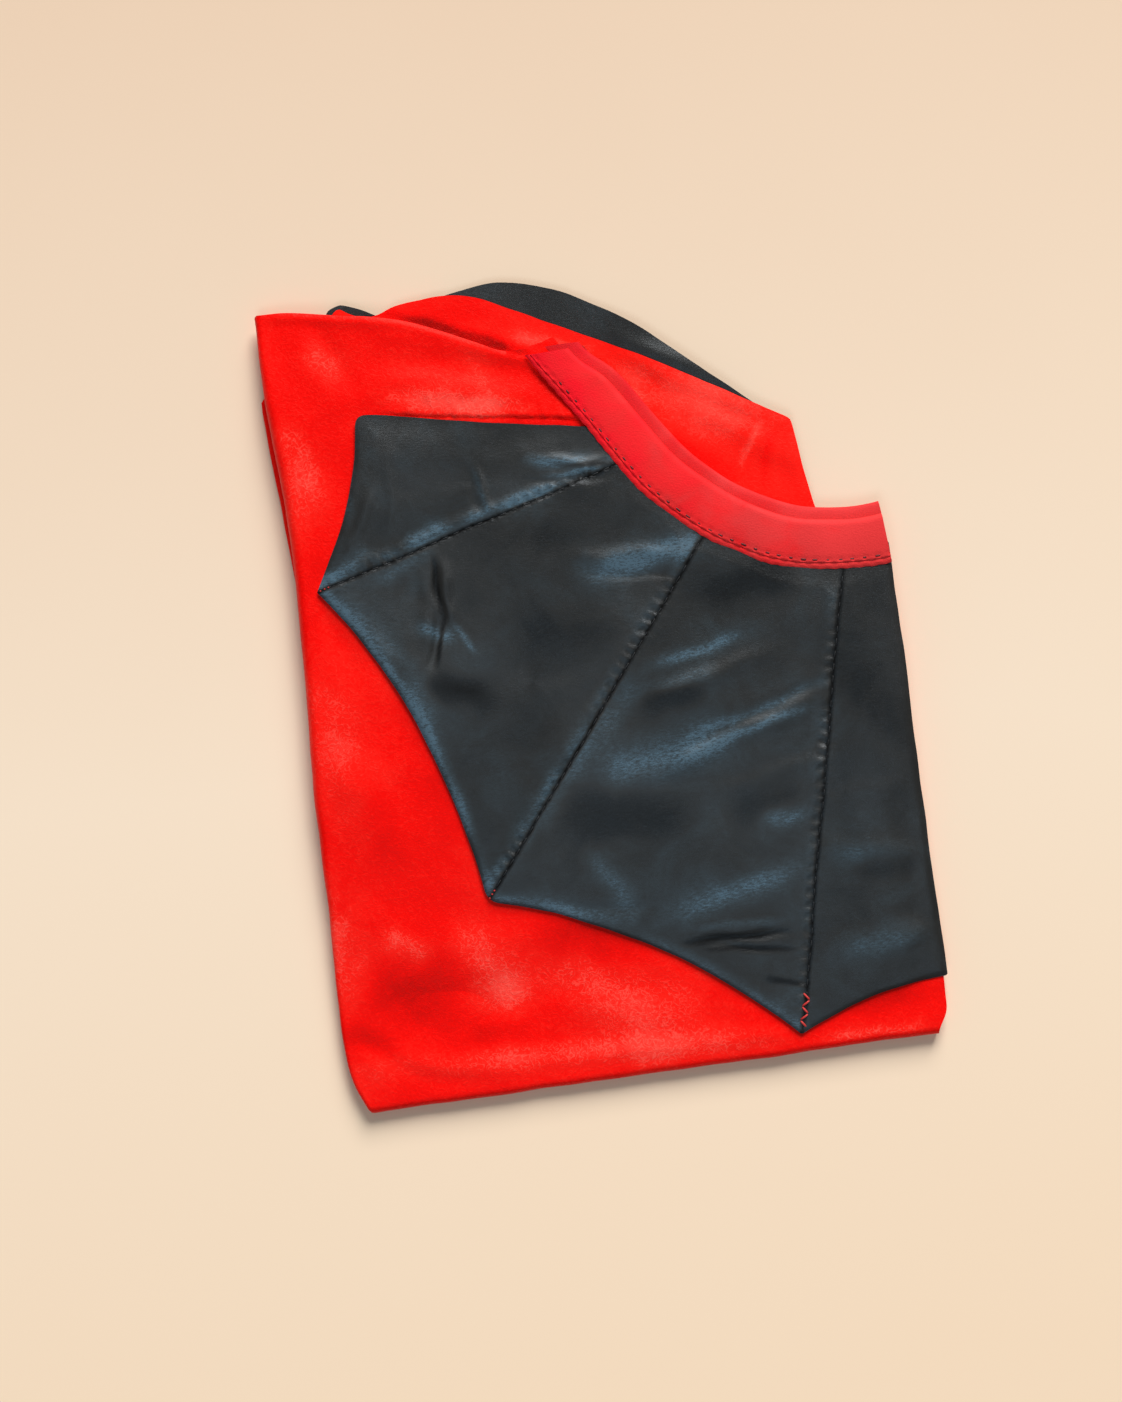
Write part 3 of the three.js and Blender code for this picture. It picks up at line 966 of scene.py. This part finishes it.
def fold_panel(name, top, under, inset, neck_offset, relief, nodes):
    """One body panel: a single sheet, folded at the left and then at the bottom."""
    fold_x = TOP_CORNER[0] + inset + (top[0] - under[0]) / 2
    fold_y = BOTTOM + inset + top[0] - FOLD_HEIGHT
    outline = panel_outline(neck_offset, inset, fold_x, fold_y)

    def hidden(points):
        aside = np.abs(points[:, 0] - fold_x) > FINE_PAST_SIDE_FOLD
        turned = (points[:, 1] < fold_y - FINE_PAST_END_FOLD) & aside
        return (points[:, 0] < fold_x - FINE_PAST_SIDE_FOLD) | turned

    plan, faces = triangulate(outline, FINE_MESH, coarse=(COARSE_MESH, hidden))
    z_top = level(plan, top)
    z_under = level(plan, under)
    x, z = fold_left(plan[:, 0], z_top, z_under, fold_x, plan[:, 1])
    upper = plan[:, 0] > fold_x
    settled = smooth_step(0, 9, plan[:, 0] - fold_x) * smooth_step(-2, 8, plan[:, 1] - fold_y)
    if relief:
        z = z + np.where(upper, settled * relief(plan), 0)
    y, z = fold_bottom(plan[:, 1], z, fold_y)
    tail = plan[:, 1] < fold_y - 6
    right = smooth_step(BACK_EDGE_REACH, 0, RIGHT - x)
    x = x - right * (BACK_INSET + CORNER_PULL * smooth_step(BOTTOM + 14, BOTTOM, y) ** 2)
    skew = smooth_step(20, TAIL_CORNER[1], y) * smooth_step(120, 0, x - TAIL_CORNER[0])
    x = x + np.where(tail, (TAIL_CORNER[0] - TOP_CORNER[0]) * skew, 0)
    points = np.column_stack([x, y, z])
    # Painted sheen and painted shade on the top ply only
    painted_light = creases(plan, BODY_PAINTED_LIGHT) * (plan[:, 1] > fold_y)
    obj = make_mesh(name, points, upward(with_height(plan, z), faces), RED, BODY_CLOTH, painted_light)
    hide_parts(*nodes)
    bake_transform(obj)


# ---------------------------------------------------------------- yoke


def bend_yoke(obj):
    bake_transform(obj)


def lay_cloth(name, points, faces, look, nodes, painted_light=None):
    """A piece of cloth or tape that lies flat; look is its material and thickness."""
    obj = make_mesh(name, points, faces, *look, painted_light)
    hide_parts(*nodes)
    return obj


def split_cloth(plan, height, faces, number, count):
    """The points and faces of each numbered piece of a sheet."""
    for index in range(count):
        yield compact(with_height(plan, height), [f for f, n in zip(faces, number) if n == index])


def rib_rows():
    """Lines beside each rib, close together, that let the mesh follow its ditch."""
    rows = []
    for start, end in RIBS:
        d = (end - start) / np.linalg.norm(end - start)
        across = np.array([-d[1], d[0]])
        for offset in (-1.5, -0.7, 0.0, 0.7, 1.5):
            aside = across * offset
            rows.append(np.array([start + aside + 3 * d, end + aside - 2.2 * d]))
    return rows


def compact(points, faces):
    used, faces = np.unique(np.array(faces), return_inverse=True)
    return points[used], [tuple(int(i) for i in f) for f in faces.reshape(-1, 3)]


def rib_painted_light(plan):
    """Painted shade makes a rib's stitch line black; broken patches of painted sheen follow its
    upper side.
    """
    total = np.zeros(len(plan))
    for number, (start, end) in enumerate(RIBS):
        away, _ = distance_to(plan, [start, end])
        upper = side_of(plan, start, end) < 0
        patchy = np.clip(0.35 + 0.8 * ripple(plan, 11, 80 + number), 0, 1)
        total += (0.9, 0.55, 0.35)[number] * upper * patchy * hill(away - 3.0, 2.4)
        total -= (2.0, 1.7, 1.5)[number] * hill(away, 0.6)
    return total


def hem_painted_sheen(plan):
    """Painted sheen in patches along the rolled hem between the second and fourth points."""
    tips = YOKE_TIPS[1:4]
    away = np.minimum(*[distance_to(plan, bow(a, b, d))[0]
                        for a, b, d in zip(tips[:-1], tips[1:], SCALLOPS[1:3])])
    return hill(away - 1.8, 2.4) * np.clip(0.50 + 0.7 * ripple(plan, 22, 61), 0.0, 1)


def make_yoke():
    plan, faces = triangulate(YOKE_OUTLINE, 0.95, lines=rib_rows())
    height = yoke_height(plan)
    faces = upward(with_height(plan, height), faces)
    centres = np.array([plan[list(f)].mean(axis=0) for f in faces])
    number = sum((side_of(centres, start, end) > 0).astype(int) for start, end in RIBS)
    names = ("front", "shoulder", "side", "back")
    for name, (points, own) in zip(names, split_cloth(plan, height, faces, number, len(names))):
        flat = points[:, :2]
        # Painted sheen and painted shade of the yoke's gores
        painted_light = creases(flat, YOKE_PAINTED_LIGHT) + hem_painted_sheen(flat) + rib_painted_light(flat)
        nodes = [f"left_yoke_{name}_gore", f"left_yoke_{name}_gore_top"]
        bend_yoke(lay_cloth(f"left_{name}_gore_cloth", points, own, (BLACK, YOKE_CLOTH), nodes,
                            painted_light))


def make_yoke_lining():
    outline = yoke_outline(0.9)
    plan, faces = triangulate(outline, 3.0)
    above, _, width = front_strip(plan)
    plan = plan + np.outer(hill(above, 3.0) * width, (0.1, 1.0))
    height = left_top_height(plan) + PLY
    points = with_height(plan, height)
    nodes = ["left_yoke_lining", "left_yoke_lining_top"]
    bend_yoke(lay_cloth("left_yoke_lining_cloth", points, upward(points, faces),
                        (RED, YOKE_CLOTH), nodes))


# ---------------------------------------------------------------- right half, underneath

LINING_EDGE = [
    (-83.6, 146), (-82.6, 149.4), (-79.6, 151.6), (-76, 149.4), (-71, 147.2), (-65.4, 147.6),
    (-58.8, 150.2), (-50, 151.3), (-41, 151.6),
    (-31, 150.2), (-17.4, 144.2), (17, 127), (44, 111.5), (72, 94.3), (82.6, 88.2), (84.6, 86.2),
    (85.6, 80), (87.4, 66), (90, 50), (93, 38),
]
BLACK_EDGE = [
    (-86, 147), (-84.6, 150.4), (-83, 151.9), (-79.6, 153.1), (-77.4, 152.9), (-71.7, 150.6),
    (-64, 146.6), (-58, 145.5), (-50, 147), (-41, 151.4),
    (-20, 153.8), (0.7, 148.9), (18.7, 139.7), (32.8, 129.7), (53.2, 111.1), (72, 94.2), (82, 85.4),
    (84.6, 74), (86, 54), (88, 40),
]
HIDDEN_EDGE = [(86, 38), (76, 0), (0, -62), (-84, -30), (-92, 60), (-84, 144)]


def right_yoke_outline(edge):
    return np.vstack([spline(edge)[:-1], spline(HIDDEN_EDGE)])


def right_height(plan, above):
    """The right yoke puffs up a little where the neckline leaves it bare."""
    bare = smooth_step(-6, 16, NECK_RADIUS - BAND_WIDTH - np.linalg.norm(plan - NECK, axis=1))
    bare = np.maximum(bare, smooth_step(0, 12, side_of(plan, np.array([-13, 124]), TOP_CORNER)))
    relief = creases(plan, LINING_CREASES) + 0.7 * ripple(plan, 38, 21) + 0.2 * ripple(plan, 14, 22)
    edge = distance_to(plan, spline(LINING_EDGE))[0]
    hem = 0.25 * hill(edge - 3.5, 2.5) - 0.25 * hill(edge, 1.2)
    return 4.9 + above + bare * (1.6 + relief + hem)


def make_right_yoke():
    rib = (np.array([90.0, 121.0]), np.array([20.0, -12.0]))
    shown = np.array([(76.0, 92.0), (61.0, 65.0)])
    plan, faces = triangulate(right_yoke_outline(LINING_EDGE), 1.3)
    height = right_height(plan, PLY)
    height = height - 0.45 * hill(distance_to(plan, shown)[0], 0.9)
    points = with_height(plan, height)
    # The lining carries painted sheen and painted shadow
    lining = lay_cloth("right_yoke_lining_cloth", points, upward(points, faces),
                       (LINING_RED, YOKE_CLOTH), ["right_yoke_lining"],
                       creases(plan, LINING_PAINTED_LIGHT))
    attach(lining, "folded_body")
    plan, faces = triangulate(right_yoke_outline(BLACK_EDGE), 1.3)
    height = right_height(plan, 0)
    faces = upward(with_height(plan, height), faces)
    centres = np.array([plan[list(f)].mean(axis=0) for f in faces])
    front = (np.array([-46.0, 200.0]), np.array([-60.0, -110.0]))
    number = (side_of(centres, *rib) > 0).astype(int) * 2
    number = np.where(side_of(centres, *front) < 0, 0, np.where(number > 0, 2, 1))
    names = ("front", "side", "back")
    for name, (points, own) in zip(names, split_cloth(plan, height, faces, number, len(names))):
        obj = lay_cloth(f"right_{name}_gore_cloth", points, own, (BLACK, YOKE_CLOTH),
                        [f"right_yoke_{name}_gore"])
        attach(obj, "folded_body")


# ---------------------------------------------------------------- neckband

def band_frame(shift, length, spacing=1.1):
    """Points along the band's outer edge with the direction towards the neck."""
    line = resample(neckline(shift, length), spacing)
    tangent = np.gradient(line, axis=0)
    tangent /= np.linalg.norm(tangent, axis=1)[:, None]
    inward = np.column_stack([tangent[:, 1], -tangent[:, 0]])
    along = np.concatenate([[0], np.cumsum(np.linalg.norm(np.diff(line, axis=0), axis=1))])
    return line, inward, tangent, along


def make_band(name, shift, top, facing, node_name, seed, material):
    """Binding folded over the cloth edges: an outer ply, the fold at the neck, the facing."""
    line, inward, tangent, along = band_frame(shift, STRAIGHT_LENGTH)
    total = along[-1]
    across = np.concatenate([[0, 0.3, 0.9, 1.6, 2.25, 2.5], np.linspace(3.0, BAND_WIDTH - 1.6, 18)])
    roll = np.linspace(0, math.pi, 9)[1:-1]
    back = np.linspace(BAND_WIDTH - 1.6, 2.0, 8)
    rows = []
    stretch = 1 - smooth_step(total - 34, total, along) * 0.22
    sway = 0.9 * ripple(np.column_stack([along, along * 0]), 30, seed)
    lie = 1.2 * ripple(np.column_stack([along, along * 0 + 50]), 19, seed + 1)
    stitch_beat = np.cos(2 * math.pi * along / STITCH_PITCH)
    for w in across:
        puff = 0.4 * math.sin(math.pi * min(1, max(0, (w - 2.6) / (BAND_WIDTH - 3))))
        rim = -0.5 * math.exp(-(w / 0.5) ** 2) - 0.45 * (w < RIM_WIDTH)
        ditch = -(0.25 + 0.2 * stitch_beat) * math.exp(-((w - 3.3) / 0.7) ** 2)
        ruffle = 0.14 * stitch_beat * math.exp(-((w - 1.2) / 1.2) ** 2)
        tilt = lie * (w / BAND_WIDTH - 0.4)
        rows.append((w + 0.15 * stitch_beat * (w < 1), top + puff + rim + ditch + ruffle + tilt))
    half = (top - facing) / 2
    for a in roll:
        rows.append((BAND_WIDTH - 1.6 + 1.6 * math.sin(a) + 0 * along,
                     facing + half + half * math.cos(a) + lie * 0.6 * (1 + math.cos(a)) / 2))
    for w in back:
        rows.append((w + 0 * along, facing + 0 * along))
    bias = BAND_END_BIAS * smooth_step(total - 30, total, along)
    points = []
    for w, z in rows:
        reached = (w + sway * 0.35) * stretch
        plan = line + inward * reached[:, None] - tangent * (bias * w / BAND_WIDTH)[:, None]
        points.append(with_height(plan, z))
    count = len(line)
    faces = []
    for r in range(len(rows) - 1):
        for i in range(count - 1):
            a = r * count + i
            faces.append((a, a + 1, a + count + 1, a + count))
    obj = make_mesh(name, np.vstack(points), faces, material)
    obj.data.materials.append(RIM)
    for face in obj.data.polygons[:4 * (count - 1)]:
        face.material_index = 1
    thicken(obj, BAND_CLOTH)
    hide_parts(node_name)
    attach(obj, "folded_body")


# ---------------------------------------------------------------- threads and closure

def capsule(start, end, radius, sides=8):
    """A short round stitch from start to end, its ends pulled down into the cloth."""
    d = end - start
    length = np.linalg.norm(d)
    d = d / length
    across = np.array([-d[1], d[0], 0])
    up = np.cross(d, across)
    points = []
    rings = 6
    for ring in range(rings + 1):
        t = ring / rings
        size = radius * math.sin(math.pi * (0.12 + 0.76 * t)) ** 0.5
        sink = -radius * 2.2 * (2 * t - 1) ** 4
        centre = start + d * length * t + np.array([0, 0, sink])
        for k in range(sides):
            a = 2 * math.pi * k / sides
            points.append(centre + size * (math.cos(a) * across + math.sin(a) * up))
    faces = []
    for ring in range(rings):
        for k in range(sides):
            a = ring * sides + k
            b = ring * sides + (k + 1) % sides
            faces.append((a, b, b + sides, a + sides))
    faces.append(tuple(reversed(range(sides))))
    faces.append(tuple(rings * sides + k for k in range(sides)))
    return np.array(points), faces


def stitches(name, spans, radius, material):
    points, faces, count = [], [], 0
    for start, end in spans:
        p, f = capsule(start, end, radius)
        points.append(p)
        faces += [tuple(i + count for i in face) for face in f]
        count += len(p)
    return make_mesh(name, np.vstack(points), faces, material)


def on_yoke(ends, clearance):
    """A stitch's two ends, set a clearance over the yoke."""
    return tuple(with_height(ends, yoke_height(ends) + clearance))


def make_rib_stitches():
    for number, (start, end) in enumerate(RIBS, 1):
        length = np.linalg.norm(end - start)
        d = (end - start) / length
        spans = []
        for s in np.arange(SEAM_TUCK + 3, length - 3, STITCH_PITCH):
            ends = np.array([start + d * s, start + d * (s + STITCH_PITCH * 0.6)])
            spans.append(on_yoke(ends, 0.12))
        obj = stitches(f"rib_stitches_{number}", spans, 0.14, BLACK_THREAD)
        bend_yoke(obj)


def make_band_stitches(top):
    line, inward, _, along = band_frame(0, STRAIGHT_LENGTH)
    spans = []
    for s in np.arange(3, along[-1] - 6, STITCH_PITCH):
        ends = []
        for at in (s, s + STITCH_PITCH * 0.62):
            i = int(np.searchsorted(along, at))
            plan = line[i] + inward[i] * 3.3
            ends.append(np.append(plan, top + 0.1))
        spans.append((ends[0], ends[1]))
    obj = stitches("neckband_stitches", spans, 0.34, DARK_THREAD)
    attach(obj, "folded_body")


def make_thread_ends():
    """Three red stitches show where each of the first two ribs ends."""
    spans = []
    for start, end in RIBS[:2]:
        d = (start - end) / np.linalg.norm(start - end)
        for s in THREAD_END_PLACES:
            ends = np.array([end + d * s, end + d * (s + THREAD_END_LENGTH)])
            spans.append(on_yoke(ends, 0.3))
    obj = stitches("tip_thread_ends", spans, 0.3, RED_THREAD)
    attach(obj, "left_yoke")


def make_tack():
    """A plain zigzag of red thread over the last rib's end."""
    start, end = RIBS[2]
    d = (start - end) / np.linalg.norm(start - end)
    across = np.array([-d[1], d[0]])
    turns = []
    for i in range(TACK_TURNS + 1):
        swing = TACK_SWING if i % 2 else -TACK_SWING
        turns.append(end + d * (TACK_SET_BACK + TACK_STEP * i) + across * swing)
    turns = np.array(turns)
    z = yoke_height(turns) + 0.35
    raised = with_height(turns, z)
    spans = list(zip(raised[:-1], raised[1:]))
    obj = stitches("tip_tack_thread", spans, 0.42, RED_THREAD)
    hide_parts("tip_thread_tack")
    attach(obj, "left_yoke")


def make_patches():
    """The closure's two patches: each a rounded slab of tape, its material a dense field of tiny
    loops.
    """
    for name in ("closure_loop_patch", "closure_hook_patch"):
        low, _ = node_box(name)
        corner = np.array([reach(name, *way) for way in ((-1, 0), (0, 1), (1, 0), (0, -1))])
        centre = corner.mean(axis=0)
        corner = centre + (corner - centre) * 0.96
        outline = rounded(corner, list(corner), 2.0)
        plan, faces = triangulate(outline, 1.0)
        edge = distance_to(plan, outline, closed=True)[0]
        z = low[2] + 0.3 + 0.2 * smooth_step(0, 1.5, edge) + 0.04 * ripple(plan, 2.0, 7)
        points = with_height(plan, z)
        obj = lay_cloth(name + "_tape", points, upward(points, faces), (FASTENER, TAPE_CLOTH),
                        [name])
        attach(obj, "folded_body")


# ---------------------------------------------------------------- assembly

fold_panel("left_body_cloth", LEFT_TOP, LEFT_UNDER, 0.0, SEAM_TUCK, body_relief,
           ["left_body_panel", "left_body_tail"])
fold_panel("right_body_cloth", RIGHT_TOP, RIGHT_UNDER, INNER_INSET, SEAM_TUCK + RIGHT_SHIFT, None,
           ["right_body_panel", "right_body_tail"])
make_right_yoke()
make_yoke_lining()
make_yoke()
BAND_TOP = LEFT_TOP[1] + 3 * PLY + 0.4
make_band("left_neckband_cloth", 0, BAND_TOP, LEFT_TOP[1] - 0.9, "left_neckband", 60, BINDING)
make_band("right_neckband_cloth", RIGHT_SHIFT, RIGHT_TOP[1] + 0.9, RIGHT_TOP[1] - 0.9,
          "right_neckband", 70, SHADED_UNDER_BINDING)
make_rib_stitches()
make_band_stitches(BAND_TOP)
make_thread_ends()
make_tack()
make_patches()


# ---------------------------------------------------------------- stage, light, camera

def make_floor():
    size = 2.2
    mesh = bpy.data.meshes.new("floor")
    mesh.from_pydata([(-size, -size, 0), (size, -size, 0), (size, size, 0), (-size, size, 0)],
                     [], [(0, 1, 2, 3)])
    mesh.materials.append(floor_paint())
    floor = bpy.data.objects.new("floor", mesh)
    bpy.context.collection.objects.link(floor)


def area_light(name, place, target, size, power, colour):
    light = bpy.data.lights.new(name, "AREA")
    light.shape = "RECTANGLE"
    light.size, light.size_y = size
    light.energy = power
    light.color = colour
    obj = bpy.data.objects.new(name, light)
    obj.location = place
    direction = Vector(target) - Vector(place)
    obj.rotation_euler = direction.to_track_quat("-Z", "Y").to_euler()
    bpy.context.collection.objects.link(obj)


WORLD_STRENGTH = 0.17
KEY_POWER = 2230
COOL_POWER = 70


def make_lights():
    world = bpy.data.worlds.new("studio")
    world.use_nodes = True
    background = world.node_tree.nodes["Background"]
    background.inputs["Color"].default_value = (1.0, 0.99, 0.97, 1)
    background.inputs["Strength"].default_value = WORLD_STRENGTH
    bpy.context.scene.world = world
    area_light("key", (3.4, 9.4, 6.3), (0, 0, 0), (6.2, 6.2), KEY_POWER, (1.0, 0.98, 0.96))
    area_light("cool", (-0.95, -2.5, 5.5), (0, 0, 0), (2.0, 2.0), COOL_POWER, (0.66, 0.85, 1.0))


PHOTO_TURN = math.radians(-8)
VIEW_CENTRE = (-0.0168, -0.0078)
VIEW_HEIGHT = 0.5328
LENS = 85.0
SENSOR = 36.0


def make_camera():
    data = bpy.data.cameras.new("camera")
    data.lens = LENS
    data.sensor_width = SENSOR
    camera = bpy.data.objects.new("camera", data)
    distance = VIEW_HEIGHT * LENS / SENSOR
    camera.location = (*VIEW_CENTRE, distance + 10 * MM)
    camera.rotation_euler = (0, 0, PHOTO_TURN)
    bpy.context.collection.objects.link(camera)
    bpy.context.scene.camera = camera


make_floor()
make_lights()
make_camera()
bpy.context.scene.view_settings.view_transform = "Standard"
